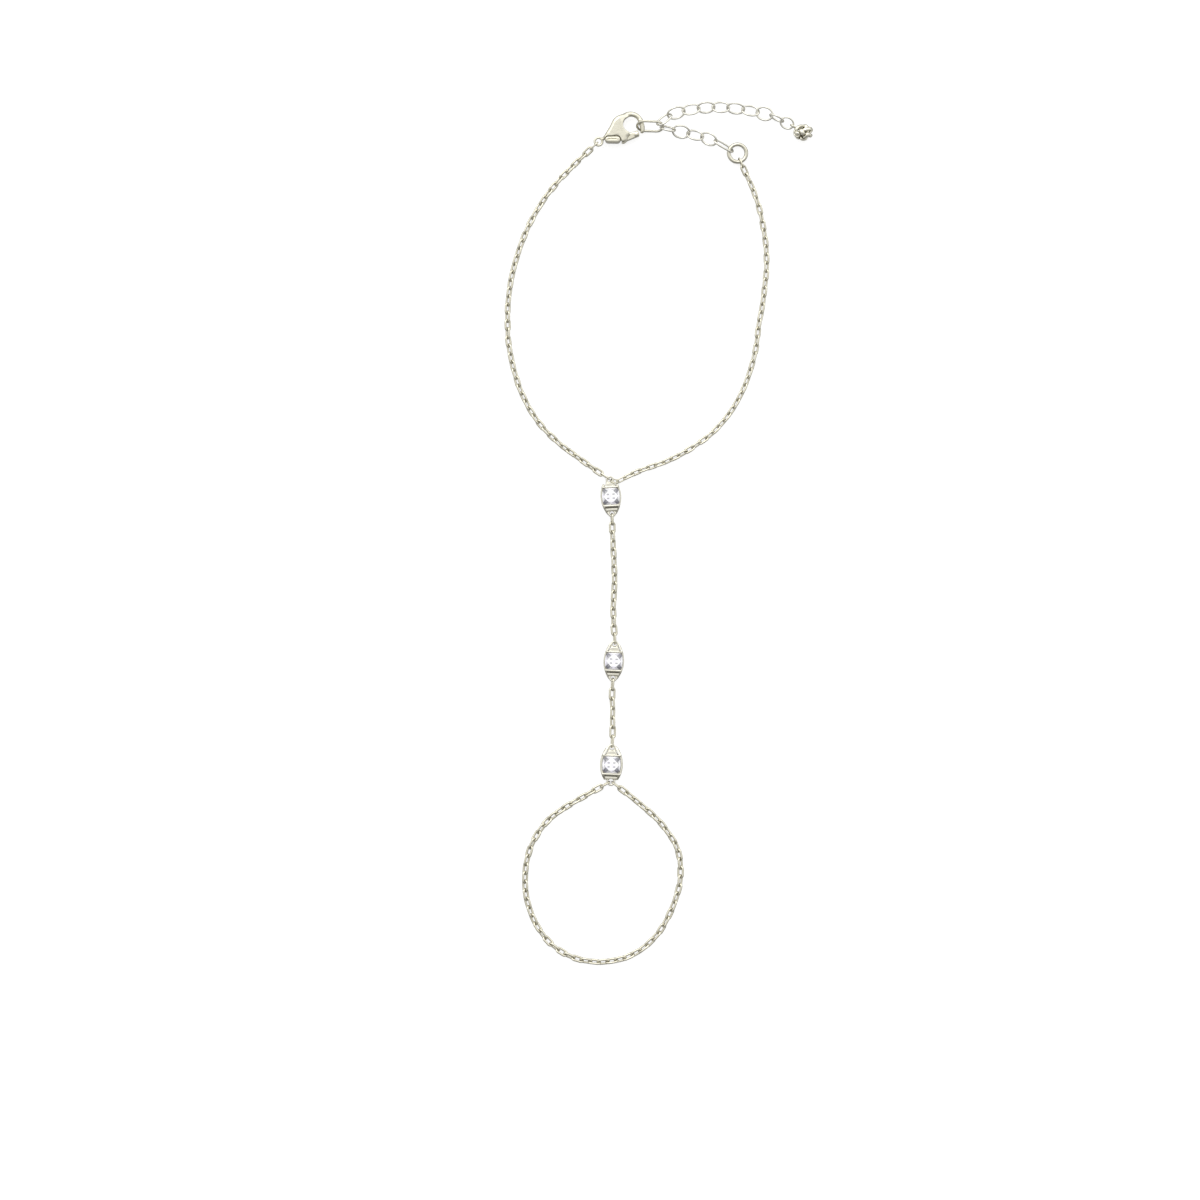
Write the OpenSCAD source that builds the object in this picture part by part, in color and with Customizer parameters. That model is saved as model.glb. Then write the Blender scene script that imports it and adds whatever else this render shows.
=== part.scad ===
// Hand chain bracelet, lying flat.
// A wrist chain closed by a lobster clasp and an extender, a chain down the
// back of the hand with three stone settings, and a loop of chain for a finger.
// +X is to the right, +Y points from the finger to the clasp, +Z is up, and
// everything rests on z = 0.

/* [Fine chain] */
// Outside width of the wrist chain's links
wrist_d = 1.0; // [0.9:0.05:1.1]
// Outside width of the hand chain's links
hand_d = 1.05; // [0.9:0.05:1.1]
// Outside width of the finger chain's links
finger_d = 1.05; // [0.9:0.05:1.1]

/* [Extender] */
// Outside width of the extender's links as they lie
ext_d = 1.9; // [1.7:0.1:2.0]
// Outside width of the extender where it leaves the hooked link
ext_end_d = 0.8; // [0.6:0.1:1.0]
// Length of the hooked link
hook_link_l = 4.8; // [4.6:0.1:4.9]
// Width of the hooked link
hook_link_w = 2.8; // [2.7:0.05:2.8]
// Wire of the hooked link
hook_link_wire = 0.4; // [0.34:0.02:0.4]
// Outside diameter of the end ring
ring_d = 3.9; // [3.6:0.1:4.0]
// Wire of the end ring
ring_wire = 0.66; // [0.5:0.02:0.7]

/* [Knot charm] */
// Mean radius of the woven ball
knot_r = 1.0; // [0.98:0.01:1.06]
// Wire of the woven ball
knot_wire = 0.42; // [0.36:0.02:0.42]
// Width of the flattened strand
knot_band = 0.58; // [0.42:0.02:0.58]
// How far the strands pass over and under each other
knot_lift = 0.38; // [0.36:0.01:0.4]

/* [Lobster clasp] */
// Thickness of the clasp's body
clasp_t = 2.2; // [2.1:0.05:2.2]
// Thickness of the hook
hook_t = 0.8; // [0.7:0.05:0.85]
// Thickness of the gate
gate_t = 0.8; // [0.7:0.05:0.85]
// Radius of the pin that the gate turns on
pin_r = 0.28; // [0.22:0.01:0.3]
// Clearance of the gate round its pin
pin_gap = 0.04; // [0.02:0.01:0.08]

/* [Stone settings] */
// Width of the square stones
stone_w = 2.4; // [2.2:0.05:2.4]
// Half width of the first two settings
set_hw = 1.75; // [1.72:0.01:1.8]
// Half width of the third setting
set3_hw = 1.95; // [1.9:0.01:2.0]
// Width of the side rails
rail_w = 0.34; // [0.26:0.02:0.34]
// Height of the side rails
rail_h = 1.5; // [1.3:0.05:1.55]
// Thickness of the eyes at a setting's ends
eye_t = 0.28; // [0.24:0.02:0.3]
// Distance from a setting's centre to each eye
eye_y = 2.85; // [2.8:0.05:2.9]

/* [Hidden] */
$fn = 64;
gap = 0.05;

// Where the pieces lie, chosen by hand, in mm.
clasp_at = [-10.2, 66.6];      // centre of the clasp's tail ring
clasp_turn = 25;
hook_link_at = [-1.8, 69.3, 1.2];
hook_link_tilt = 56;
hook_link_turn = -8;
ring_at = [13.4, 64.75, 0.7];   // it rests on the links through it
knot_at = [24.5, 68.15, 1.6];
set_at = [[-8.1, 6.3], [-7.6, -21.7], [-8.0, -39.3]];
set_turn = [3.5, -3, -2];
v_ring_at = [-7.68, 9.15, 0.66];

// Routes: x, y and height of the centre line, then how wide the chain is
// there as a share of its full width.
wrist_left_route = [
    [-10.9, 65.9, 0.8, 0.8],
    [-14.1, 63.0, 0.5, 1],
    [-18.1, 58.7, 0.5, 1],
    [-21.4, 53.7, 0.5, 1],
    [-23.7, 48.3, 0.5, 1],
    [-25.2, 42.5, 0.5, 1],
    [-25.7, 36.5, 0.5, 1],
    [-25.2, 30.5, 0.5, 1],
    [-23.1, 23.5, 0.5, 1],
    [-19.3, 17.6, 0.5, 1],
    [-14.2, 13.3, 0.5, 1],
    [-8.8, 9.9, 0.8, 0.8]];
wrist_right_route = [
    [14.7, 62.9, 0.6, 0.9],
    [16.4, 57.7, 0.5, 1],
    [17.8, 52.2, 0.5, 1],
    [18.4, 46.6, 0.5, 1],
    [18.0, 41.0, 0.5, 1],
    [17.1, 35.4, 0.5, 1],
    [16.2, 29.8, 0.5, 1],
    [13.6, 22.8, 0.5, 1],
    [9.0, 17.0, 0.5, 1],
    [2.7, 12.9, 0.5, 1],
    [-3.4, 10.6, 0.5, 1],
    [-6.5, 9.7, 0.8, 0.8]];
hand_upper_route = [
    [-7.9, 2.6, 0.6, 0.9],
    [-7.8, -0.5, 0.53, 1],
    [-7.6, -4.5, 0.53, 1],
    [-7.5, -8.5, 0.53, 1],
    [-7.7, -13.0, 0.53, 1],
    [-7.5, -18.0, 0.6, 0.9]];
hand_lower_route = [
    [-7.7, -25.4, 0.6, 0.9],
    [-7.9, -27.5, 0.53, 1],
    [-7.8, -30.5, 0.53, 1],
    [-7.8, -33.5, 0.53, 1],
    [-7.9, -35.6, 0.6, 0.9]];
finger_route = [
    [-8.9, -42.9, 0.6, 0.9],
    [-13.9, -45.4, 0.53, 1],
    [-18.4, -48.4, 0.53, 1],
    [-21.5, -52.8, 0.53, 1],
    [-22.7, -58.1, 0.53, 1],
    [-22.1, -63.3, 0.53, 1],
    [-19.7, -68.2, 0.53, 1],
    [-15.6, -71.7, 0.53, 1],
    [-10.4, -72.9, 0.53, 1],
    [-5.2, -72.0, 0.53, 1],
    [-0.8, -68.9, 0.53, 1],
    [2.1, -64.3, 0.53, 1],
    [3.7, -59.1, 0.53, 1],
    [3.3, -53.9, 0.53, 1],
    [0.4, -49.2, 0.53, 1],
    [-3.6, -45.6, 0.53, 1],
    [-7.1, -42.9, 0.6, 0.9]];
ext_inner_route = [
    [1.2, 68.9, 0.9, 0],
    [2.5, 68.6, 0.9, 0.6],
    [4.0, 68.2, 0.95, 1],
    [6.4, 67.8, 0.95, 1],
    [8.7, 66.9, 0.95, 1],
    [11.5, 65.8, 0.95, 0.9]];
ext_tail_route = [
    [0.5, 70.9, 1.4, 0],
    [3.0, 71.6, 1.0, 0.8],
    [5.6, 72.2, 0.95, 1],
    [8.1, 72.5, 0.95, 1],
    [10.6, 72.5, 0.95, 1],
    [13.1, 72.4, 0.95, 1],
    [15.6, 71.9, 0.95, 1],
    [18.2, 71.6, 0.95, 1],
    [20.2, 70.5, 0.95, 1],
    [22.1, 69.6, 0.95, 0.9]];

// ---- Smooth routes -------------------------------------------------------

// One point of a smooth curve between p1 and p2.
function between(p0, p1, p2, p3, t) =
    0.5 * (2 * p1 + (p2 - p0) * t + (2 * p0 - 5 * p1 + 4 * p2 - p3) * t * t
        + (3 * p1 - p0 - 3 * p2 + p3) * t * t * t);

// A route with k steps between each pair of its points.
function smooth(R, k) = let (n = len(R)) [
    for (i = [0 : n - 2], j = [0 : k - 1])
        between(i == 0 ? 2 * R[0] - R[1] : R[i - 1], R[i], R[i + 1],
            i == n - 2 ? 2 * R[n - 1] - R[n - 2] : R[i + 2], j / k),
    R[n - 1]];

function xyz(p) = [p[0], p[1], p[2]];
function unit(v) = v / norm(v);

// A tube of eight sides along a route, flat side down. Its width at a point
// is d_end where the fourth number is 0 and d where it is 1.
module chain_tube(route, d, d_end, k) {
    P = smooth(route, k);
    n = len(P);
    T = [for (i = [0 : n - 1])
        unit(xyz(P[min(i + 1, n - 1)]) - xyz(P[max(i - 1, 0)]))];
    points = [for (i = [0 : n - 1])
        let (side = unit(cross(T[i], [0, 0, 1])), up = cross(side, T[i]),
            h = (d_end + (d - d_end) * P[i][3]) / 2, r = h / cos(22.5))
        for (j = [0 : 7])
            [P[i][0], P[i][1], max(P[i][2], h)] + r * cos(22.5 + 45 * j) * side
                + r * sin(22.5 + 45 * j) * up];
    faces = concat(
        [[for (j = [7 : -1 : 0]) j]],
        [for (i = [0 : n - 2], j = [0 : 7])
            [8 * i + j, 8 * i + (j + 1) % 8, 8 * i + 8 + (j + 1) % 8]],
        [for (i = [0 : n - 2], j = [0 : 7])
            [8 * i + j, 8 * i + 8 + (j + 1) % 8, 8 * i + 8 + j]],
        [[for (j = [0 : 7]) 8 * (n - 1) + j]]);
    polyhedron(points, faces);
}

module wrist_chain_left() {
    color("tan") chain_tube(wrist_left_route, wrist_d, 0, 2);
}
module wrist_chain_right() {
    color("tan") chain_tube(wrist_right_route, wrist_d, 0, 2);
}
module hand_chain_upper() {
    color("tan") chain_tube(hand_upper_route, hand_d, 0, 1);
}
module hand_chain_lower() {
    color("tan") chain_tube(hand_lower_route, hand_d, 0, 1);
}
module finger_chain() {
    color("tan") chain_tube(finger_route, finger_d, 0, 2);
}
module extender_inner() {
    color("silver") chain_tube(ext_inner_route, ext_d, ext_end_d, 1);
}
module extender_tail() {
    color("silver") chain_tube(ext_tail_route, ext_d, ext_end_d, 1);
}

// ---- Links and rings -----------------------------------------------------

// A round ring of wire, of outside diameter od.
module round_ring(od, wire) {
    rotate_extrude() translate([(od - wire) / 2, 0]) circle(d = wire, $fn = 32);
}

// An oval link along X, l long and w wide.
module oval_link(l, w, wire) {
    m = (w - wire) / 2;
    s = (l - w) / 2;
    for (e = [-1, 1]) {
        translate([e * s, 0, 0]) rotate([0, 0, e * 90 - 180])
            rotate_extrude(angle = 180) translate([m, 0])
                circle(d = wire, $fn = 32);
        translate([-s, e * m, 0]) rotate([0, 90, 0])
            cylinder(d = wire, h = 2 * s, $fn = 32);
    }
}

module hook_link() {
    color("silver") translate(hook_link_at)
        rotate([hook_link_tilt, 0, hook_link_turn])
            oval_link(hook_link_l, hook_link_w, hook_link_wire);
}

module end_ring() {
    color("silver") translate(ring_at) round_ring(ring_d, ring_wire);
}

// The jump ring rises through the first setting's upper eye.
module v_ring() {
    color("silver") translate(v_ring_at)
        rotate([0, 0, 4]) rotate([-48, 0, 0]) round_ring(1.66, 0.27);
}

// ---- Knot charm ----------------------------------------------------------

// One flat strand goes three times round the ball and swings four times
// between its poles, over and under itself.
function strand(t) = let (lat = 54 * cos(4 * t / 3),
        r = knot_r + knot_lift * sin(8 * t / 3))
    r * [cos(lat) * cos(t), cos(lat) * sin(t), sin(lat)];

module woven_ball(n = 120, sides = 8) {
    P = [for (i = [0 : n - 1]) strand(1080 * i / n)];
    points = [for (i = [0 : n - 1])
        let (t = unit(P[(i + 1) % n] - P[(i + n - 1) % n]),
            side = unit(cross(t, P[i])), up = cross(side, t))
        for (j = [0 : sides - 1])
            P[i] + knot_band / 2 * cos(360 * j / sides) * side
                + knot_wire / 2 * sin(360 * j / sides) * up];
    faces = [for (i = [0 : n - 1], j = [0 : sides - 1], h = [0, 1])
        let (a = sides * i, b = sides * ((i + 1) % n), k = (j + 1) % sides)
        h == 0 ? [a + j, a + k, b + k] : [a + j, b + k, b + j]];
    polyhedron(points, faces);
}

module knot_charm() {
    color("tan") translate(knot_at) {
        rotate([52, 0, 20]) woven_ball();
        // the loop that the extender's last link holds
        rotate([0, 0, 148]) translate([1.95, 0, -0.3]) rotate([90, 0, 0])
            round_ring(1.2, 0.3);
    }
}

// ---- Lobster clasp, drawn along X from its tail ring ----------------------

pivot = [4.15, -1.2];

module in_clasp(z = 0) {
    translate([clasp_at[0], clasp_at[1], clasp_t / 2 + z])
        rotate([0, 0, clasp_turn]) children();
}

// The eye that the link hangs in.
eye_at = [5.8, 0.45];

// The back of the clasp, from its neck to the root of the hook.
module back_outline() {
    hull() {
        translate([4.45, 0.75]) circle(r = 2.2, $fn = 96);
        translate([3.4, 0.7]) circle(r = 1.9, $fn = 96);
        translate([1.5, 0.4]) circle(r = 0.42, $fn = 32);
        translate([4.2, -1.15]) circle(r = 0.85, $fn = 48);
    }
}

// The hook's section: a bar with its four edges taken off.
module hook_section(r) {
    w = 0.42;
    h = hook_t / 2;
    e = 0.17;
    translate([r, 0]) polygon([[-w, -h + e], [-w + e, -h], [w - e, -h],
        [w, -h + e], [w, h - e], [w - e, h], [-w + e, h], [-w, h - e]]);
}

module clasp_body() {
    color("tan") in_clasp() difference() {
        union() {
            linear_extrude(height = clasp_t, center = true) difference() {
                intersection() {
                    back_outline();
                    translate([0, -3]) square([5.35, 7]);
                }
                translate(eye_at) circle(r = 1.4, $fn = 96);
            }
            translate(eye_at) rotate([0, 0, -12])
                rotate_extrude(angle = 150, $fn = 96) hook_section(1.88);
            // the hook's tip reaches down to the gate
            hull() {
                translate([7.62, 0.0, -hook_t / 2 + 0.08])
                    cylinder(r = 0.36, h = hook_t - 0.16, $fn = 32);
                translate([7.36, -1.62, -hook_t / 2 + 0.14])
                    cylinder(r = 0.2, h = hook_t - 0.28, $fn = 32);
            }
            // neck and tail ring
            translate([0.8, 0.1, 0]) rotate([0, 90, 8])
                cylinder(r = 0.3, h = 0.8, $fn = 32);
            round_ring(1.7, 0.4);
        }
        // room below the back for the thumb tab
        translate([0, 0, -2]) linear_extrude(height = 4)
            polygon([[1.05, 0.02], [3.25, -0.38], [3.45, -0.9], [3.2, -3],
                [1.05, -3]]);
        // the slot that the gate turns in
        translate([0, 0, -gate_t / 2 - gap])
            linear_extrude(height = gate_t + 2 * gap)
                polygon([[3.0, -0.2], [4.15, -0.15], [5.6, -0.6], [5.6, -3],
                    [3.0, -3]]);
        translate([pivot[0], pivot[1], -2]) cylinder(r = pin_r + 0.01, h = 4);
    }
}

// Gate, hub and thumb tab are one piece.
module clasp_lever() {
    color("silver") in_clasp() difference() {
        union() {
            translate([0, 0, -gate_t / 2]) linear_extrude(height = gate_t)
                union() {
                    translate(pivot) circle(r = 0.66, $fn = 48);
                    polygon([[4.15, -1.72], [6.9, -2.0], [6.85, -1.6],
                        [6.7, -1.1], [4.2, -0.75]]);
                    polygon([[4.1, -1.65], [2.5, -1.2], [2.5, -0.7],
                        [4.1, -0.65]]);
                }
            hull() {
                for (p = [[1.55, -0.5], [2.93, -1.05]])
                    translate([p[0], p[1], -0.8])
                        cylinder(r = 0.3, h = 1.6, $fn = 32);
            }
        }
        translate([pivot[0], pivot[1], -2])
            cylinder(r = pin_r + pin_gap, h = 4);
    }
}

module clasp_pin() {
    color("silver") in_clasp() translate([pivot[0], pivot[1], -clasp_t / 2])
        cylinder(r = pin_r, h = clasp_t);
}

// ---- Stone settings --------------------------------------------------------

// The shuttle outline: two arcs that would meet above and below.
module shuttle(hw, inset = 0) {
    r = (3.9 * 3.9 + hw * hw) / (2 * hw);
    intersection() {
        translate([r - hw, 0]) circle(r = r - inset, $fn = 180);
        translate([hw - r, 0]) circle(r = r - inset, $fn = 180);
    }
}

module band(y0, y1) {
    translate([-3, y0]) square([6, y1 - y0]);
}

module setting(hw) {
    half = stone_w / 2;
    difference() {
        union() {
            // side rails
            linear_extrude(height = rail_h) difference() {
                shuttle(hw);
                shuttle(hw, rail_w);
                band(2.0, 4);
                band(-4, -2.1);
            }
            // end plates
            translate([0, 0, 0.15]) linear_extrude(height = 0.75)
                intersection() {
                    shuttle(hw);
                    union() {
                        band(half + 0.1, 2.25);
                        band(-2.45, -half - 0.75);
                    }
                }
            // floor of the slot below the stone
            translate([0, 0, 0.15]) linear_extrude(height = 0.35)
                intersection() {
                    shuttle(hw, 0.1);
                    band(-2.0, -half);
                }
            // bars above and below the stone
            linear_extrude(height = 1.75) intersection() {
                shuttle(hw, 0.1);
                union() {
                    band(half + gap, half + 0.4);
                    band(-half - 0.4, -half - gap);
                }
            }
            // eyes
            translate([0, 0, 0.5]) linear_extrude(height = eye_t) union() {
                for (s = [-1, 1]) translate([0, s * eye_y]) circle(r = 0.67);
                intersection() {
                    shuttle(hw);
                    union() {
                        band(2.2, 2.5);
                        band(-2.75, -2.2);
                    }
                }
            }
        }
        for (s = [-1, 1]) translate([0, s * eye_y, -1])
            cylinder(r = 0.37, h = 4);
        for (s = [-1, 1]) translate([s * 0.82, 1.93, -1])
            cylinder(r = 0.15, h = 4, $fn = 24);
    }
    // a thin frame under the stone ties the rails together
    difference() {
        linear_extrude(height = 0.35) intersection() {
            shuttle(hw, 0.1);
            band(-half - 0.2, half + 0.2);
        }
        translate([-0.85, -0.85, -1]) cube([1.7, 1.7, 3]);
    }
}

module setting_n(i, hw) {
    color("tan") translate([set_at[i][0], set_at[i][1], 0])
        rotate([0, 0, set_turn[i]]) setting(hw);
}

// A square stone: flat table, sloping crown and a pointed back.
module stone_n(i) {
    h = stone_w / 2;
    color("lavender") translate([set_at[i][0], set_at[i][1], 0])
        rotate([0, 0, set_turn[i]]) hull() {
            translate([0, 0, 1.95]) cube([1.5, 1.5, 0.1], center = true);
            translate([0, 0, 1.6])
                cube([2 * h, 2 * h, 0.12], center = true);
            translate([0, 0, 0.55]) cube([0.2, 0.2, 0.1], center = true);
        }
}

module setting_1() setting_n(0, set_hw);
module setting_2() setting_n(1, set_hw);
module setting_3() setting_n(2, set3_hw);
module stone_1() stone_n(0);
module stone_2() stone_n(1);
module stone_3() stone_n(2);

wrist_chain_left();
wrist_chain_right();
hand_chain_upper();
hand_chain_lower();
finger_chain();
extender_inner();
extender_tail();
hook_link();
end_ring();
knot_charm();
clasp_body();
clasp_lever();
clasp_pin();
v_ring();
setting_1();
setting_2();
setting_3();
stone_1();
stone_2();
stone_3();
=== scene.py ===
# Looks of the hand chain bracelet, built round its packed construction.
# Lengths below are in millimetres and become metres in the meshes.
import math

import bpy
import numpy as np
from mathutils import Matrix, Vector


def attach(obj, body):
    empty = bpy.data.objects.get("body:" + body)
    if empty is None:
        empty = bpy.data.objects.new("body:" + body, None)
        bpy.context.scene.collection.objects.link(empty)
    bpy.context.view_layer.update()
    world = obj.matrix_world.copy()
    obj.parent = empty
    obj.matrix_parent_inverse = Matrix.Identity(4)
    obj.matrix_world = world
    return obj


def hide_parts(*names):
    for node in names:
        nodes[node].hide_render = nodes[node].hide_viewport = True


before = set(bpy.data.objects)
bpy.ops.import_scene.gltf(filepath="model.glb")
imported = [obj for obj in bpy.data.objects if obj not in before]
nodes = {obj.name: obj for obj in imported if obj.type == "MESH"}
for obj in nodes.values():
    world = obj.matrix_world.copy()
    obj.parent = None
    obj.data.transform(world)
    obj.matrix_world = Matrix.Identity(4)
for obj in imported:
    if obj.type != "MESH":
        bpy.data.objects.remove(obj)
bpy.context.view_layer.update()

MM = 0.001
BODY = "bracelet"
rng = np.random.default_rng(7)


# ---------------------------------------------------------------- vectors

def vec(*v):
    return np.array(v, float)


def unit(v):
    v = np.asarray(v, float)
    return v / np.linalg.norm(v)


def rot(axis, degrees):
    """Rotation matrix about x, y or z."""
    c, s = math.cos(math.radians(degrees)), math.sin(math.radians(degrees))
    i, j = {"x": (1, 2), "y": (2, 0), "z": (0, 1)}[axis]
    m = np.eye(3)
    m[i, i] = m[j, j] = c
    m[i, j], m[j, i] = -s, s
    return m


# ---------------------------------------------------------------- meshes

def make(name, parts, mat, replaces=(), body=BODY, sharp=None):
    """One object from a list of (points in mm, faces)."""
    points, faces, at = [], [], 0
    for p, f in parts:
        points.append(np.asarray(p, float))
        faces.extend([[i + at for i in face] for face in f])
        at += len(p)
    me = bpy.data.meshes.new(name)
    me.from_pydata((np.vstack(points) * MM).tolist(), [], faces)
    me.validate()
    me.polygons.foreach_set("use_smooth", [sharp is None or sharp > 0] * len(me.polygons))
    if sharp:
        me.set_sharp_from_angle(angle=math.radians(sharp))
    me.materials.append(mat)
    me.update()
    ob = bpy.data.objects.new(name, me)
    bpy.context.scene.collection.objects.link(ob)
    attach(ob, body)
    if replaces:
        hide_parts(*replaces)
    return ob


def tube(P, A, B, ra, rb, m, closed=True):
    """Sweeps an ellipse along P, with its axes along A and B."""
    n = len(P)
    a = np.arange(m) * 2 * math.pi / m
    ra = np.broadcast_to(np.asarray(ra, float), (n,))[:, None, None]
    rb = np.broadcast_to(np.asarray(rb, float), (n,))[:, None, None]
    V = (P[:, None, :] + ra * np.cos(a)[None, :, None] * A[:, None, :]
         + rb * np.sin(a)[None, :, None] * B[:, None, :]).reshape(-1, 3)
    F = []
    for i in range(n if closed else n - 1):
        k = (i + 1) % n
        for j in range(m):
            l = (j + 1) % m
            F.append((m * i + j, m * i + l, m * k + l, m * k + j))
    if not closed:
        F.append(tuple(range(m - 1, -1, -1)))
        F.append(tuple(m * (n - 1) + j for j in range(m)))
    return V, F


def stadium(L, W, n_arc, n_side):
    """Closed path of length L and width W: points, tangents and outward normals."""
    r, s = W / 2, (L - W) / 2
    P, N = [], []
    for e in (1, -1):
        for i in range(n_arc + 1):
            a = -math.pi / 2 + math.pi * i / n_arc
            d = np.array([math.cos(a), math.sin(a)]) * e
            P.append(np.array([e * s, 0]) + r * d)
            N.append(d)
        if s > 1e-6:
            for i in range(1, n_side):
                t = i / n_side
                P.append(np.array([e * (s - 2 * s * t), e * r]))
                N.append(np.array([0, e]))
    return np.array(P), np.array(N)


def oval(L, W, n, power):
    """Closed path of an oval whose ends are rounder than a stadium's."""
    t = (np.arange(n) + 0.5) * 2 * math.pi / n
    c, s = np.cos(t), np.sin(t)
    P = np.stack([L / 2 * np.sign(c) * np.abs(c) ** (2 / power), W / 2 * np.sign(s) * np.abs(s) ** (2 / power)], 1)
    T = np.roll(P, -1, 0) - np.roll(P, 1, 0)
    N = np.stack([T[:, 1], -T[:, 0]], 1)
    return P, N / np.linalg.norm(N, axis=1)[:, None]


def link(c, axis, side, L, W, wire, n_arc=14, n_side=4, m=10, seam=0.0, flat=1.0, power=0.0):
    """A link of round wire: c is its centre, axis its long way, side its width's way."""
    axis = unit(axis)
    side = unit(side - np.dot(side, axis) * axis)
    normal = np.cross(axis, side)
    if power:
        P2, N2 = oval(L - wire, W - wire, 2 * (n_arc + n_side), power)
    else:
        P2, N2 = stadium(L - wire, W - wire, n_arc, n_side)
    if L - W < 1e-6 and not power:
        keep = [i for i in range(len(P2)) if i % (n_arc + 1) != n_arc]
        P2, N2 = P2[keep], N2[keep]
    P = c + P2[:, :1] * axis + P2[:, 1:] * side
    A = N2[:, :1] * axis + N2[:, 1:] * side
    B = np.repeat(normal[None], len(P), 0)
    r = np.full(len(P), wire / 2)
    if seam:
        k = np.exp(-((P2[:, 0] / (0.35 * wire)) ** 2)) * (P2[:, 1] > 0)
        r = r * (1 + seam * k)
    return tube(P, A, B, r, r * flat, m)


# ---------------------------------------------------------------- routes

def smooth_route(R, k=24):
    """The same smooth curve that the construction's tubes follow."""
    R = [vec(*p[:3]) for p in R]
    R = [2 * R[0] - R[1]] + R + [2 * R[-1] - R[-2]]
    out = []
    for i in range(1, len(R) - 2):
        p0, p1, p2, p3 = R[i - 1], R[i], R[i + 1], R[i + 2]
        for j in range(k):
            t = j / k
            out.append(0.5 * (2 * p1 + (p2 - p0) * t + (2 * p0 - 5 * p1 + 4 * p2 - p3) * t * t
                              + (3 * p1 - p0 - 3 * p2 + p3) * t ** 3))
    out.append(R[-2])
    return np.array(out)


def along(P, s):
    d = np.r_[0, np.cumsum(np.linalg.norm(np.diff(P, axis=0), axis=1))]
    return np.stack([np.interp(s, d, P[:, i]) for i in range(3)], 1), d[-1]


def frame_of(d):
    """The level way across a direction, and the way up from it."""
    h = unit(np.cross(vec(0, 0, 1), d))
    return h, np.cross(d, h)


def reach(t, d, roll, r, wire):
    """How far past a foreign wire's middle a link reaches when it holds it: t is
    that wire's direction, r its radius, d the link's way and roll its turn."""
    h, up = frame_of(d)
    a = math.radians(roll)
    n = -math.sin(a) * h + math.cos(a) * up
    along_, across = abs(np.dot(t, d)), max(abs(np.dot(t, n)), 0.3)
    return r * math.sqrt(1 + (along_ / across) ** 2) + wire / 2 * along_ / across


def links_on(K, rolls, sizes, slack, quality, floor_at=0.0, ends=(True, True)):
    """Links that each span K[i] to K[i + 1]. Inner points rise until nothing is
    under the ground; sizes are (width, wire, power) of each link."""
    K = np.array(K, float)
    n = len(K) - 1

    def shape(i):
        d = K[i + 1] - K[i]
        l = np.linalg.norm(d)
        axis = d / l
        h, up = frame_of(axis)
        a = math.radians(rolls[i])
        return (K[i] + K[i + 1]) / 2, axis, math.cos(a) * h + math.sin(a) * up, l + 2 * sizes[i][1] + slack[i]

    half = [(w - e) / 2 * abs(math.sin(math.radians(r))) + e / 2 for r, (w, e, _p) in zip(rolls, sizes)]
    for i in range(1, n):
        K[i, 2] = max(K[i, 2], half[i - 1], half[i])
    for _ in range(60):
        worst = 0
        lift = np.zeros(n + 1)
        for i in range(n):
            c, axis, side, L = shape(i)
            W, wire, power = sizes[i]
            P2 = (oval(L - wire, W - wire, 32, power) if power else stadium(L - wire, W - wire, 8, 3))[0]
            z = c[2] + P2[:, 0] * axis[2] + P2[:, 1] * side[2] - wire / 2
            j = int(np.argmin(z))
            need = floor_at + 0.012 - z[j]
            if need > 0:
                worst = max(worst, need)
                u = np.clip(P2[j, 0] / L + 0.5, 0.15, 0.85)
                for k, w in ((i, 1 - u), (i + 1, u)):
                    if 0 < k < n or (k == 0 and not ends[0]) or (k == n and not ends[1]):
                        lift[k] = max(lift[k], need * w)
        K[:, 2] += lift
        if worst < 1e-4:
            break
    parts = []
    for i in range(n):
        c, axis, side, L = shape(i)
        W, wire, power = sizes[i]
        parts.append(link(c, axis, side, L, W, wire, n_arc=quality[0], n_side=quality[1], m=quality[2],
                          seam=quality[3] if rolls[i] > 0 else 0.0, power=power))
    return parts, K


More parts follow.
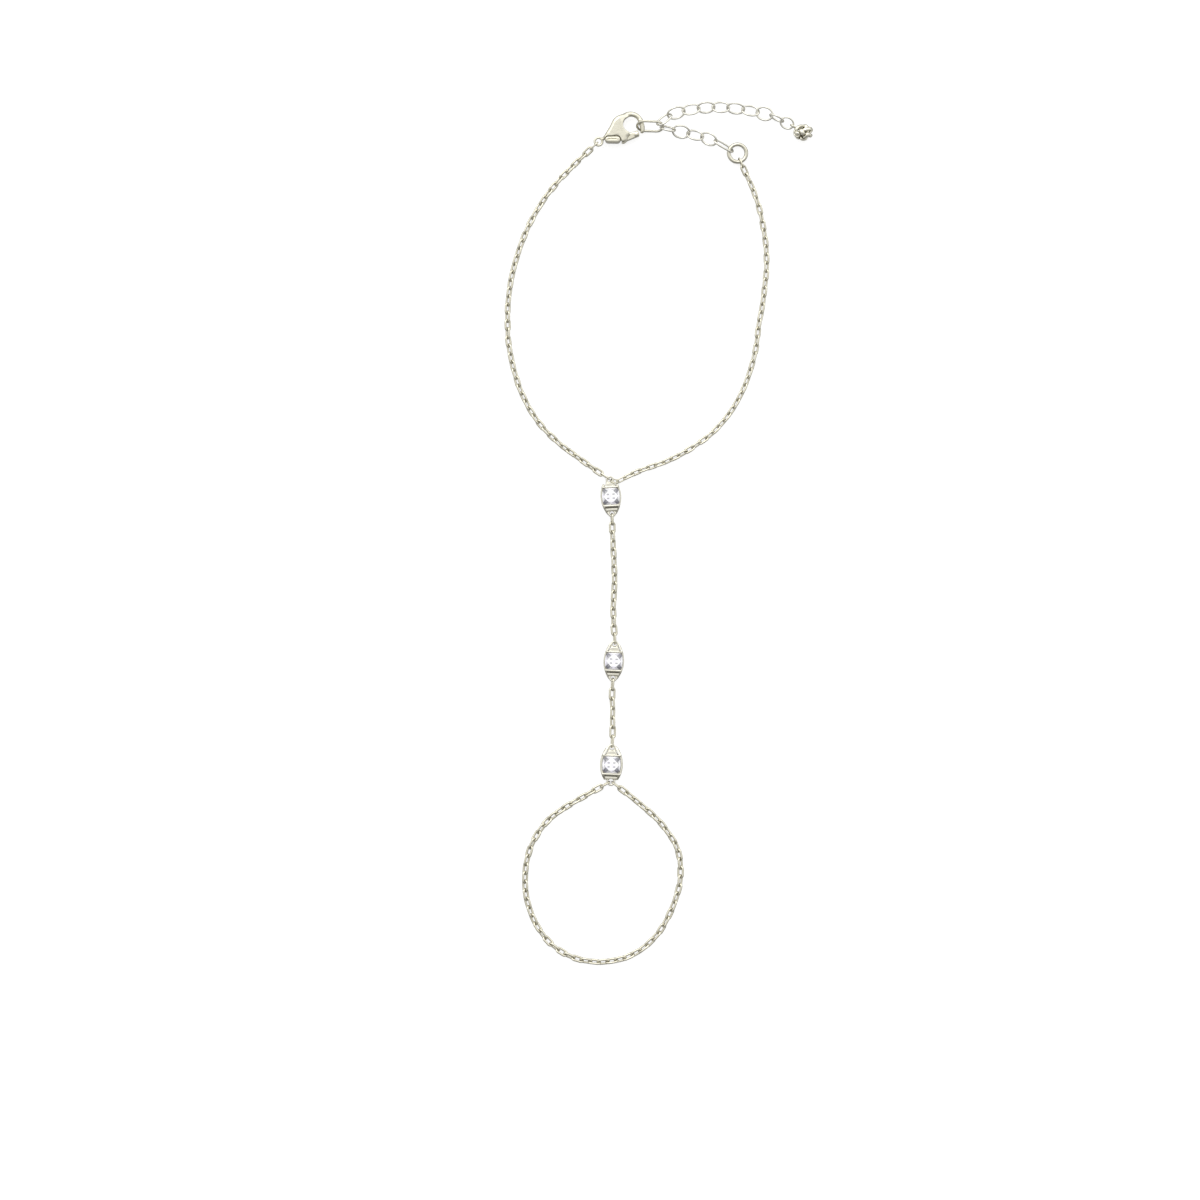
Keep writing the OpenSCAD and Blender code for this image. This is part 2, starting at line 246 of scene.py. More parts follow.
def fine_chain(route, hook_a, hook_b, pitch, W, wire, drift, seed, end_a=None, end_b=None, turn=1):
    """Interlocked links along a route. A hook is (point, radius, wire direction,
    roll) of what the first or last link holds; end_a and end_b are (width, wire)
    of those links; drift is a list of (waves, degrees, phase)."""
    g = np.random.default_rng(seed)
    (ha, ra, ta, roll_a), (hb, rb, tb, roll_b) = hook_a, hook_b
    P = smooth_route([ha] + route + [hb])
    total = along(P, [0])[1]
    n = int(round((total + ra + rb) / pitch))
    # alternate links stand at 45 degrees each way, so the parity follows the ends
    odd = (np.sign(roll_a) != np.sign(roll_b))
    if (n % 2 == 0) != odd:
        n += 1 if (total + ra + rb) / pitch > n else -1
    s = np.linspace(-ra, total + rb, n + 1)
    K, _ = along(P, np.clip(s, 0, total))
    u = (np.arange(n) + 0.5) / n
    k = np.arange(n)
    sign = np.where(k % 2 == 0, 1.0, -1.0) * np.sign(roll_a)
    near_a, near_b = np.clip(1 - k / 3, 0, 1), np.clip(1 - (n - 1 - k) / 3, 0, 1)
    fade = 1 - np.maximum(near_a, near_b)
    roll = sign * 45 + fade * (sum(a * np.sin(2 * math.pi * (w * u + p)) for w, a, p in drift) + g.normal(0, 2.0, n))
    roll = roll + near_a * (abs(roll_a) - 45) * np.sign(roll_a) + near_b * (abs(roll_b) - 45) * np.sign(roll_b)
    sizes = [(W, wire, 0)] * n
    sizes[0] = (*(end_a or (W, wire)), 0)
    sizes[-1] = (*(end_b or (W, wire)), 0)
    sway = np.clip(np.minimum(np.arange(n + 1), n - np.arange(n + 1)) / 3, 0, 1)
    T = np.gradient(K, axis=0)
    across = np.stack([-T[:, 1], T[:, 0], np.zeros(n + 1)], 1)
    across /= np.linalg.norm(across, axis=1)[:, None]
    K = K + across * (sway * g.normal(0, 0.022, n + 1))[:, None]
    K[1:-1, 2] = wire / 2 + 0.01
    slack = [0.04] * n
    for i, x in ((0, 0.09), (1, 0.06), (n - 2, 0.06), (n - 1, 0.09)):
        slack[i] = x
    for _ in range(4):
        d = unit(K[1] - ha)
        K[0] = ha - reach(ta, d, roll[0], ra, sizes[0][1]) * d
        d = unit(hb - K[-2])
        K[-1] = hb + reach(tb, d, roll[-1], rb, sizes[-1][1]) * d
        # the last few links ease up to what they hang on
        for i in range(1, n):
            for m, z in ((i, ha[2]), (n - i, hb[2])):
                K[i, 2] = max(K[i, 2], z - 0.22 * m)
        parts, K = links_on(K, roll, sizes, slack, (12, 4, 10, 0.14))
    return parts, n, np.linalg.norm(K[5] - K[4])


# ---------------------------------------------------------------- smooth solids from distance fields

def surface(field, lo, hi, h, polish=2):
    """The zero surface of a distance field, as quads between grid cells."""
    lo, hi = np.asarray(lo, float), np.asarray(hi, float)
    n = np.ceil((hi - lo) / h).astype(int) + 1
    axes = [lo[i] + h * np.arange(n[i]) for i in range(3)]
    X, Y, Z = np.meshgrid(*axes, indexing="ij")
    f = field(X, Y, Z)
    inside = f < 0
    c = n - 1
    total = np.zeros((*c, 3))
    count = np.zeros(c)
    corner = [(i, j, k) for i in (0, 1) for j in (0, 1) for k in (0, 1)]

    def at(a, o):
        return a[o[0]:o[0] + c[0], o[1]:o[1] + c[1], o[2]:o[2] + c[2]]

    for a in corner:
        for ax in range(3):
            if a[ax]:
                continue
            b = tuple(a[i] + (i == ax) for i in range(3))
            fa, fb = at(f, a), at(f, b)
            cross = at(inside, a) != at(inside, b)
            t = np.where(cross, fa / np.where(cross, fa - fb, 1), 0)
            for i in range(3):
                total[..., i] += np.where(cross, a[i] + (t if i == ax else 0), 0)
            count += cross
    used = count > 0
    index = np.full(c, -1)
    index[used] = np.arange(used.sum())
    cell = np.stack(np.nonzero(used), 1)
    V = lo + h * (cell + total[used] / count[used][:, None])
    F = []
    for ax in range(3):
        u, v = (ax + 1) % 3, (ax + 2) % 3
        s0 = [slice(1, -1)] * 3
        s0[ax] = slice(0, -1)
        s1 = list(s0)
        s1[ax] = slice(1, None)
        a, b = inside[tuple(s0)], inside[tuple(s1)]
        for sign in (0, 1):
            hit = np.stack(np.nonzero((a & ~b) if sign else (b & ~a)), 1)
            if not len(hit):
                continue
            base = hit.copy()
            base[:, u] += 1
            base[:, v] += 1
            q = []
            for du, dv in ((0, 0), (1, 0), (1, 1), (0, 1)):
                w = base.copy()
                w[:, u] -= 1 - du
                w[:, v] -= 1 - dv
                q.append(index[w[:, 0], w[:, 1], w[:, 2]])
            q = np.stack(q, 1)
            F.append(q if sign else q[:, ::-1])
    F = np.vstack(F)
    e = h * 0.3
    for _ in range(polish):
        g = np.stack([field(*(V + e * d).T) - field(*(V - e * d).T) for d in np.eye(3)], 1) / (2 * e)
        f0 = field(*V.T)
        step = f0[:, None] * g / np.maximum((g ** 2).sum(1), 0.25)[:, None]
        size = np.linalg.norm(step, axis=1)
        V = V - step * np.minimum(1, 0.5 * h / np.maximum(size, 1e-9))[:, None]
    return V, F.tolist()


def blend_min(a, b, k):
    t = np.clip(0.5 + 0.5 * (b - a) / k, 0, 1)
    return b + (a - b) * t - k * t * (1 - t)


def blend_max(a, b, k):
    return -blend_min(-a, -b, k)


def circle2(x, y, cx, cy, r):
    return np.hypot(x - cx, y - cy) - r


def capsule2(x, y, ax, ay, bx, by, ra, rb):
    """Distance to the taper between two circles, near enough."""
    dx, dy = bx - ax, by - ay
    t = np.clip(((x - ax) * dx + (y - ay) * dy) / (dx * dx + dy * dy), 0, 1)
    return np.hypot(x - ax - t * dx, y - ay - t * dy) - (ra + (rb - ra) * t)


def polygon2(x, y, pts):
    """Signed distance to a polygon."""
    d = np.full(np.shape(x), 1e9)
    s = np.ones(np.shape(x))
    n = len(pts)
    for i in range(n):
        ax, ay = pts[i]
        bx, by = pts[i - 1]
        ex, ey = bx - ax, by - ay
        wx, wy = x - ax, y - ay
        t = np.clip((wx * ex + wy * ey) / (ex * ex + ey * ey), 0, 1)
        d = np.minimum(d, (wx - ex * t) ** 2 + (wy - ey * t) ** 2)
        c1, c2, c3 = y >= ay, y < by, ex * wy > ey * wx
        s = np.where((c1 & c2 & c3) | (~c1 & ~c2 & ~c3), -s, s)
    return s * np.sqrt(d)


def slab(d2, z, half, r):
    """A plan outline of distance d2 made half thick each way, its edges rounded by r."""
    a, b = d2 + r, np.abs(z) - half + r
    return np.minimum(np.maximum(a, b), 0) + np.hypot(np.maximum(a, 0), np.maximum(b, 0)) - r


def box3(x, y, z, cx, cy, cz, hx, hy, hz, r):
    a, b, c = np.abs(x - cx) - hx + r, np.abs(y - cy) - hy + r, np.abs(z - cz) - hz + r
    return (np.minimum(np.maximum(a, np.maximum(b, c)), 0)
            + np.sqrt(np.maximum(a, 0) ** 2 + np.maximum(b, 0) ** 2 + np.maximum(c, 0) ** 2) - r)


def torus3(x, y, z, cx, cy, cz, R, r):
    return np.hypot(np.hypot(x - cx, y - cy) - R, z - cz) - r


# ---------------------------------------------------------------- materials

def metal(name, base, deep, rough, grain, dents, painted_shade=0.0):
    """Polished plated metal: faint cloudy tone, fine polishing marks and soft dents, and, where asked, painted shade
    that darkens the colour in hollows, between links and on flanks near the floor.
    """
    mat = bpy.data.materials.new(name)
    mat.use_nodes = True
    nt = mat.node_tree
    nt.nodes.clear()
    N = lambda kind, **kw: _node(nt, kind, **kw)
    out = N("ShaderNodeOutputMaterial")
    bsdf = N("ShaderNodeBsdfPrincipled")
    bsdf.inputs["Metallic"].default_value = 1.0
    nt.links.new(bsdf.outputs["BSDF"], out.inputs["Surface"])
    co = N("ShaderNodeTexCoord").outputs["Object"]
    cloud = N("ShaderNodeTexNoise")
    cloud.inputs["Scale"].default_value = 900.0
    cloud.inputs["Detail"].default_value = 4.0
    nt.links.new(co, cloud.inputs["Vector"])
    ramp = N("ShaderNodeValToRGB")
    ramp.color_ramp.elements[0].position = 0.32
    ramp.color_ramp.elements[0].color = (*deep, 1)
    ramp.color_ramp.elements[1].position = 0.62
    ramp.color_ramp.elements[1].color = (*base, 1)
    nt.links.new(cloud.outputs["Fac"], ramp.inputs["Fac"])
    colour = ramp.outputs["Color"]
    # painted shade: an ambient-occlusion mask darkens the base colour in hollows, at interlocks and on wire flanks
    # near the floor, by the given strength
    if painted_shade:
        ao = N("ShaderNodeAmbientOcclusion")
        ao.samples = 6
        ao.inputs["Distance"].default_value = 0.0005
        tone = N("ShaderNodeValToRGB")
        tone.color_ramp.elements[0].position = 0.12
        tone.color_ramp.elements[0].color = (1 - painted_shade,) * 3 + (1,)
        tone.color_ramp.elements[1].position = 0.6
        tone.color_ramp.elements[1].color = (1, 1, 1, 1)
        nt.links.new(ao.outputs["AO"], tone.inputs["Fac"])
        mix = N("ShaderNodeMix", data_type="RGBA", blend_type="MULTIPLY")
        mix.inputs["Factor"].default_value = 1.0
        nt.links.new(colour, mix.inputs["A"])
        nt.links.new(tone.outputs["Color"], mix.inputs["B"])
        colour = mix.outputs["Result"]
    nt.links.new(colour, bsdf.inputs["Base Color"])
    fine = N("ShaderNodeTexNoise")
    fine.inputs["Scale"].default_value = 5200.0
    fine.inputs["Detail"].default_value = 3.0
    nt.links.new(co, fine.inputs["Vector"])
    span = N("ShaderNodeMapRange")
    span.inputs["To Min"].default_value = rough * 0.7
    span.inputs["To Max"].default_value = rough * 1.35
    nt.links.new(fine.outputs["Fac"], span.inputs["Value"])
    nt.links.new(span.outputs["Result"], bsdf.inputs["Roughness"])
    wide = N("ShaderNodeTexNoise")
    wide.inputs["Scale"].default_value = 1400.0
    wide.inputs["Detail"].default_value = 2.0
    nt.links.new(co, wide.inputs["Vector"])
    b1 = N("ShaderNodeBump")
    b1.inputs["Strength"].default_value = dents
    b1.inputs["Distance"].default_value = 0.00005
    nt.links.new(wide.outputs["Fac"], b1.inputs["Height"])
    b2 = N("ShaderNodeBump")
    b2.inputs["Strength"].default_value = grain
    b2.inputs["Distance"].default_value = 0.00001
    nt.links.new(fine.outputs["Fac"], b2.inputs["Height"])
    nt.links.new(b1.outputs["Normal"], b2.inputs["Normal"])
    nt.links.new(b2.outputs["Normal"], bsdf.inputs["Normal"])
    return mat


def _node(nt, kind, **kw):
    n = nt.nodes.new(kind)
    for k, v in kw.items():
        setattr(n, k, v)
    return n


def stone_material():
    """Cut stone: part clear, with painted reflections toned facet by facet, a painted
    glow for the light its pavilion would send back, and a faint lavender cloud."""
    mat = bpy.data.materials.new("clear_stone")
    mat.use_nodes = True
    nt = mat.node_tree
    nt.nodes.clear()
    N = lambda kind, **kw: _node(nt, kind, **kw)
    out = N("ShaderNodeOutputMaterial")
    bsdf = N("ShaderNodeBsdfPrincipled")
    bsdf.inputs["Transmission Weight"].default_value = 0.12
    bsdf.inputs["IOR"].default_value = 1.95
    bsdf.inputs["Roughness"].default_value = 0.02
    nt.links.new(bsdf.outputs["BSDF"], out.inputs["Surface"])
    co = N("ShaderNodeTexCoord").outputs["Object"]
    cloud = N("ShaderNodeTexNoise")
    cloud.inputs["Scale"].default_value = 1500.0
    nt.links.new(co, cloud.inputs["Vector"])
    ramp = N("ShaderNodeValToRGB")
    ramp.color_ramp.elements[0].position = 0.35
    ramp.color_ramp.elements[0].color = (0.93, 0.91, 1.0, 1)
    ramp.color_ramp.elements[1].position = 0.6
    ramp.color_ramp.elements[1].color = (1.0, 1.0, 1.0, 1)
    nt.links.new(cloud.outputs["Fac"], ramp.inputs["Fac"])
    # painted reflections: each facet's stored tone darkens its colour where the facet would mirror dark surroundings
    tone = N("ShaderNodeAttribute", attribute_name="tone")
    grey = N("ShaderNodeValToRGB")
    grey.color_ramp.elements[0].color = (0.10, 0.10, 0.12, 1)
    grey.color_ramp.elements[1].color = (1, 1, 1, 1)
    nt.links.new(tone.outputs["Fac"], grey.inputs["Fac"])
    mix = N("ShaderNodeMix", data_type="RGBA", blend_type="MULTIPLY")
    mix.inputs["Factor"].default_value = 1.0
    nt.links.new(ramp.outputs["Color"], mix.inputs["A"])
    nt.links.new(grey.outputs["Color"], mix.inputs["B"])
    nt.links.new(mix.outputs["Result"], bsdf.inputs["Base Color"])
    # painted glow: the toned colour is also emitted, standing in for light that the pavilion sends back
    nt.links.new(mix.outputs["Result"], bsdf.inputs["Emission Color"])
    bsdf.inputs["Emission Strength"].default_value = 0.2
    return mat


# the last value of each metal is the strength of its painted shade in hollows and between parts
M_CHAIN = metal("chain_metal", (0.83, 0.80, 0.675), (0.74, 0.705, 0.575), 0.18, 0.25, 0.3, 0.5)
M_EXT = metal("extender_metal", (0.90, 0.885, 0.81), (0.83, 0.81, 0.73), 0.16, 0.25, 0.25, 0.4)
M_RING = metal("ring_metal", (0.76, 0.735, 0.63), (0.68, 0.655, 0.545), 0.16, 0.25, 0.25, 0.5)
M_KNOT = metal("knot_metal", (0.885, 0.86, 0.75), (0.81, 0.785, 0.67), 0.2, 0.25, 0.25, 0.3)
M_CLASP = metal("clasp_metal", (0.815, 0.79, 0.67), (0.755, 0.725, 0.6), 0.2, 0.3, 0.35, 0.3)
M_SET = metal("setting_metal", (0.88, 0.855, 0.755), (0.80, 0.775, 0.67), 0.16, 0.25, 0.25, 0.6)
M_STONE = stone_material()


# ---------------------------------------------------------------- placing, as in the construction

CLASP_AT, CLASP_TURN, CLASP_T = vec(-10.2, 66.6, 1.1), 25, 2.2
PIVOT = (4.15, -1.2)
HOOK_AT, HOOK_TILT, HOOK_TURN = vec(-1.42, 69.2, 1.22), 54, -2
HOOK_L, HOOK_W, HOOK_WIRE = 4.8, 2.8, 0.4
RING_AT, RING_D, RING_WIRE = vec(13.45, 64.7, 0.7), 3.64, 0.66
KNOT_AT = vec(24.5, 68.15, 1.6)
SET_AT = [vec(-8.1, 6.3, 0), vec(-7.6, -21.7, 0), vec(-8.0, -39.3, 0)]
SET_TURN = [3.5, -3, -2]
SET_HW = [1.75, 1.75, 1.95]
V_AT = vec(-7.46, 8.94, 0.76)
V_R = 0.695

WRIST_LEFT = [(-14.1, 63.0, 0.5), (-18.1, 58.7, 0.5), (-21.4, 53.7, 0.5),
              (-23.7, 48.3, 0.5), (-25.2, 42.5, 0.5), (-25.7, 36.5, 0.5), (-25.2, 30.5, 0.5),
              (-23.1, 23.5, 0.5), (-19.3, 17.6, 0.5), (-14.2, 13.3, 0.5)]
WRIST_RIGHT = [(16.4, 57.7, 0.5), (17.8, 52.2, 0.5), (18.4, 46.6, 0.5), (18.0, 41.0, 0.5),
               (17.1, 35.4, 0.5), (16.2, 29.8, 0.5), (13.6, 22.8, 0.5), (9.0, 17.0, 0.5),
               (2.7, 12.9, 0.5), (-3.4, 10.6, 0.5)]
HAND_UPPER = [(-7.8, -0.5, 0.53), (-7.6, -4.5, 0.53), (-7.5, -8.5, 0.53), (-7.7, -13.0, 0.53)]
HAND_LOWER = [(-7.9, -27.5, 0.53), (-7.8, -30.5, 0.53), (-7.8, -33.5, 0.53)]
FINGER = [(-13.9, -45.4, 0.53), (-18.4, -48.4, 0.53), (-21.5, -52.8, 0.53),
          (-22.7, -58.1, 0.53), (-22.1, -63.3, 0.53), (-19.7, -68.2, 0.53), (-15.6, -71.7, 0.53),
          (-10.4, -72.9, 0.53), (-5.2, -72.0, 0.53), (-0.8, -68.9, 0.53), (2.1, -64.3, 0.53),
          (3.7, -59.1, 0.53), (3.3, -53.9, 0.53), (0.4, -49.2, 0.53), (-3.6, -45.6, 0.53)]


def in_clasp(u, v, z=0.0):
    return CLASP_AT + rot("z", CLASP_TURN) @ vec(u, v, z)


def in_setting(i, x, y, z):
    return SET_AT[i] + rot("z", SET_TURN[i]) @ vec(x, y, z)


# ---------------------------------------------------------------- fine chains

EYE_Z = 0.64
EYE_RIM = 0.52          # from the eye's centre to the middle of its rim
v_x = rot("z", -8) @ vec(1, 0, 0)
v_y = rot("z", -8) @ vec(0, math.cos(math.radians(64)), -math.sin(math.radians(64)))


def on_v(phi):
    a = math.radians(phi)
    return V_AT + V_R * (math.cos(a) * v_x + math.sin(a) * v_y)


tail = unit(vec(-14.1, 63.0, 0) - vec(-10.2, 66.6, 0))
Z = vec(0, 0, 1)


def v_tangent(phi):
    a = math.radians(phi)
    return -math.sin(a) * v_x + math.cos(a) * v_y


def eye_hook(i, angle, rim, roll):
    """The rim of a setting's eye, at an angle round it from the setting's +X."""
    y = 2.85 if math.sin(math.radians(angle)) > 0 else -2.85
    a = math.radians(angle)
    at = in_setting(i, rim * math.cos(a), y + rim * math.sin(a), EYE_Z)
    return at, 0.205, rot("z", SET_TURN[i]) @ vec(-math.sin(a), math.cos(a), 0), roll


ring_way = unit(vec(1.5, -4.6, 0))
chains = [
    ("wrist_chain_left", WRIST_LEFT, (in_clasp(0, 0) + 0.65 * tail, 0.28, np.cross(Z, tail), 84),
     eye_hook(0, 140, 0.52, 82), 1.41, 1.2, 0.365, [(2.2, 10, 0.1), (5.3, 6, 0.4)], 11,
     (1.28, 0.27), (0.98, 0.24)),
    ("wrist_chain_right", WRIST_RIGHT, (RING_AT + 1.49 * ring_way, 0.40, np.cross(Z, ring_way), 82),
     (on_v(14), 0.16, v_tangent(14), -40), 1.41, 1.14, 0.345, [(1.8, 10, 0.35), (4.6, 6, 0.1)], 12,
     (1.42, 0.26), (0.9, 0.24)),
    ("hand_chain_upper", HAND_UPPER, eye_hook(0, -90, 0.52, 76), eye_hook(1, 90, 0.52, 76),
     1.54, 1.24, 0.37, [(1.2, 8, 0.3)], 13, (1.18, 0.33), (1.18, 0.33)),
    ("hand_chain_lower", HAND_LOWER, eye_hook(1, -90, 0.52, 74), eye_hook(2, 90, 0.52, 74),
     1.58, 1.24, 0.37, [(1.0, 4, 0.1)], 14, (1.18, 0.33), (1.18, 0.33)),
    ("finger_chain", FINGER, eye_hook(2, -150, 0.6, 82), eye_hook(2, -32, 0.6, 82),
     1.47, 1.27, 0.38, [(2.5, 11, 0.2), (6.1, 6, 0.7)], 15, (1.1, 0.27), (1.1, 0.27)),
]
info = {}
for name, route, a, b, pitch, W, wire, drift, seed, end_a, end_b in chains:
    parts, n, l = fine_chain(route, a, b, pitch, W, wire, drift, seed, end_a, end_b)
    info[name] = (n, round(float(l), 3))
    make(name + "_links", parts, M_CHAIN, [name])
print("links", info)


# ---------------------------------------------------------------- extender

EW = 0.335


R_hook = rot("z", HOOK_TURN) @ rot("x", HOOK_TILT)


def on_hook(phi):
    """A point of the hooked link's wire, phi from its right-hand end."""
    a = math.radians(phi)
    m, s = (HOOK_W - HOOK_WIRE) / 2, (HOOK_L - HOOK_W) / 2
    return HOOK_AT + R_hook @ vec(s + m * math.cos(a), m * math.sin(a), 0)


def hook_tangent(phi):
    a = math.radians(phi)
    return R_hook @ vec(-math.sin(a), math.cos(a), 0)


def extender(name, start, phi, inner, end, end_r, end_t, rolls, widths, slack, ends):
    """Ovals from the hooked link at phi, through inner contacts, to a wire at end."""
    n = len(inner) + 1
    K = [start] + [k + vec(0, 0, 0.03) for k in inner] + [end]
    sizes = [(w, EW, 2.05) for w in widths]
    sizes[0], sizes[-1] = (widths[0], EW, ends[0]), (widths[-1], EW, ends[1])
    for _ in range(4):
        d = unit(K[1] - start)
        K[0] = start - reach(hook_tangent(phi), d, rolls[0], HOOK_WIRE / 2 + 0.03, EW) * d
        d = unit(end - K[-2])
        K[-1] = end + reach(end_t, d, rolls[-1], end_r, EW) * d
        parts, K = links_on(K, rolls, sizes, slack, (20, 5, 14, 0.08))
    make(name + "_links", parts, M_EXT, [name])
    return K


T = [vec(1.76, 71.15, 0.95), vec(4.26, 71.86, 0.2), vec(6.83, 72.33, 0.2), vec(9.33, 72.5, 0.2),
     vec(11.86, 72.43, 0.2), vec(14.38, 72.08, 0.2), vec(16.88, 71.68, 0.2), vec(19.16, 71.05, 0.5),
     vec(21.02, 70.13, 1.3)]
loop_way = rot("z", 148) @ vec(1, 0, 0)
loop_far = KNOT_AT + 2.40 * loop_way + vec(0, 0, -0.3)
extender("extender_tail", on_hook(50), 50, T, loop_far, 0.2, Z,
         [-54, 43, -36, 48, -35, 49, -38, 14, 80, 24], [2.5] + [2.6] * 6 + [2.5, 2.4, 2.25],
         [0.08, 0.05, 0.05, 0.05, 0.05, 0.05, 0.08, 0.08, 0.12, 0.10], (2.5, 2.05))
I = [vec(2.62, 68.56, 0.9), vec(5.06, 68.03, 0.2), vec(7.42, 67.42, 0.2), vec(9.66, 66.61, 0.9)]
ring_in = unit(vec(9.66, 66.61, 0) - vec(13.4, 64.75, 0))
extender("extender_inner", on_hook(-8), -8, I, RING_AT + 1.49 * ring_in, 0.42, np.cross(Z, ring_in),
         [-66, 33, -42, 40, -58], [2.4, 2.6, 2.6, 2.6, 1.9], [0.06] * 5, (2.5, 2.6))

parts = [link(HOOK_AT, R_hook @ vec(1, 0, 0), R_hook @ vec(0, 1, 0), HOOK_L, HOOK_W, HOOK_WIRE,
              n_arc=28, n_side=8, m=18, seam=0.06)]
make("hook_link_wire", parts, M_RING, ["hook_link"])
parts = [link(RING_AT, vec(1, 0, 0), vec(0, 1, 0), RING_D, RING_D, RING_WIRE, n_arc=48, m=24, seam=0.0)]
make("end_ring_wire", parts, M_RING, ["end_ring"])
parts = [link(V_AT, v_x, v_y, 1.64, 1.64, 0.25, n_arc=28, m=14)]
make("jump_ring_wire", parts, M_RING, ["v_ring"])


# ---------------------------------------------------------------- knot charm

def knot():
    """One flat strand woven about a core into a wide ball, and the loop that it hangs by."""
    laps, waves, n = 4, 5, 640
    t = np.arange(n) / n * laps * 2 * math.pi
    u = waves * t / laps
    lat = np.radians(60) * np.cos(u)
    weave = np.tanh(2.2 * np.sin((laps - 1) * u)) / math.tanh(2.2)
    r = 1.15 + 0.205 * weave
    P = np.stack([np.cos(lat) * np.cos(t), np.cos(lat) * np.sin(t), np.sin(lat)], 1) * r[:, None]
    T_ = np.roll(P, -1, 0) - np.roll(P, 1, 0)
    T_ /= np.linalg.norm(T_, axis=1)[:, None]
    A = np.cross(T_, P)
    A /= np.linalg.norm(A, axis=1)[:, None]
    B = np.cross(A, T_)
    V, F = tube(P, A, B, 0.31, 0.185, 14)
    R = rot("z", -28) @ rot("x", 48)

    def wide(V):
        """Wider than high, and widest near its upper side."""
        V = V @ R.T
        x, y, z = V[:, 0], V[:, 1], V[:, 2]
        return KNOT_AT + np.stack([x * (1.16 + 0.07 * y) + 0.08, y * 0.94 - 0.06, z * 0.96], 1)

    parts = [(wide(V), F)]
    rows, cols = 15, 28
    C = [vec(0, 0, -0.72)]
    for i in range(1, rows):
        q = math.pi * i / rows
        C.extend(0.72 * vec(math.sin(q) * math.cos(a), math.sin(q) * math.sin(a), -math.cos(q))
                 for a in np.arange(cols) * 2 * math.pi / cols)
    C.append(vec(0, 0, 0.72))
    top = len(C) - 1
    G = []
    for j in range(cols):
        k = (j + 1) % cols
        G.append((0, 1 + k, 1 + j))
        G.extend((1 + cols * i + j, 1 + cols * i + k, 1 + cols * (i + 1) + k, 1 + cols * (i + 1) + j)
                 for i in range(rows - 2))
        G.append((1 + cols * (rows - 2) + j, 1 + cols * (rows - 2) + k, top))
    parts.append((wide(np.array(C)), G))
    parts.append(link(KNOT_AT + 1.95 * loop_way + vec(0, 0, -0.3), loop_way, vec(0, 0, 1), 1.2, 1.2, 0.3, n_arc=24, m=14))
    return parts


make("knot_strand", knot(), M_KNOT, ["knot_charm"])


# ---------------------------------------------------------------- lobster clasp

def clasp_body_field(x, y, z):
    back = blend_min(circle2(x, y, 5.0, 0.6, 1.96), capsule2(x, y, 1.5, 0.1, 4.2, 0.62, 0.46, 1.6), 0.5)
    back = blend_min(back, capsule2(x, y, 3.95, -1.25, 4.6, 0.4, 0.86, 1.3), 0.45)
    # flat on both faces with broad rounded shoulders; thinner towards the tail
    half = 1.1 - 0.22 * np.clip((2.0 - x) / 1.2, 0, 1) - 0.3 * np.clip((x - 4.9) / 1.3, 0, 1)
    back = blend_max(back, x - 6.45, 0.5)
    solid = slab(back, z * 1.1 / half, 1.1, 0.55)
    # the hook: a round band about the eye, tapering to its tip
    dx, dy = x - 6.2, y - 0.3
    ang = np.degrees(np.arctan2(dy, dx))
    arc = np.hypot(dx, dy) - 1.76
    w = 0.42 + 0.1 * np.clip((ang - 20) / 90, 0, 1)
    hz = 0.43 + 0.35 * np.clip((ang - 60) / 70, 0, 1)
    hook = (np.sqrt((arc / w) ** 2 + (z / hz) ** 2) - 1) * w
    hook = blend_max(hook, np.maximum(-(ang + 12) * 0.033, (ang - 150) * 0.033), 0.08)
    t = np.clip((0.1 - y) / 1.75, 0, 1)
    tip = np.hypot(x - (7.93 - 0.1 * t - 0.36 * t ** 3), np.maximum(0, -1.5 - y))
    tip = np.hypot(tip, z) - (0.44 - 0.05 * t)
    tip = np.maximum(tip, y - 0.35)
    hook = blend_min(hook, tip, 0.2)
    solid = blend_min(solid, hook, 0.25)
    solid = blend_max(solid, -(circle2(x, y, 6.2, 0.3, 1.33)), 0.14)
    # neck and tail ring
    neck = np.hypot(y - 0.1, z) - 0.3
    neck = np.maximum(neck, np.maximum(0.75 - x, x - 1.7))
    solid = blend_min(solid, neck, 0.14)
    solid = blend_min(solid, torus3(x, y, z, 0, 0, 0, 0.65, 0.2), 0.1)
    # room for the thumb tab through its whole travel, and the gate's slot
    tab = polygon2(x, y, [(1.2, -0.6), (3.4, -1.1), (3.5, -3), (0.9, -3)])
    for turn in (0, 4.5, 9, 13.5, 18):
        c, s = math.cos(math.radians(turn)), math.sin(math.radians(turn))
        ends = [(PIVOT[0] + c * (u - PIVOT[0]) - s * (v - PIVOT[1]),
                 PIVOT[1] + s * (u - PIVOT[0]) + c * (v - PIVOT[1])) for u, v in ((1.64, -0.43), (3.02, -1.08))]
        tab = np.minimum(tab, capsule2(x, y, *ends[0], *ends[1], 0.59, 0.61))
    solid = blend_max(solid, -tab, 0.05)
    slot = polygon2(x, y, [(2.9, -0.45), (4.15, -0.35), (5.0, -0.42), (5.7, -0.25), (5.9, -3), (2.9, -3)])
    slot = np.maximum(slot, np.abs(z) - 0.45)
    solid = blend_max(solid, -slot, 0.05)
    room = polygon2(x, y, [(5.35, -0.35), (6.5, -0.75), (6.95, -0.75), (6.98, -3), (5.35, -3)])
    return blend_max(solid, -room, 0.08)


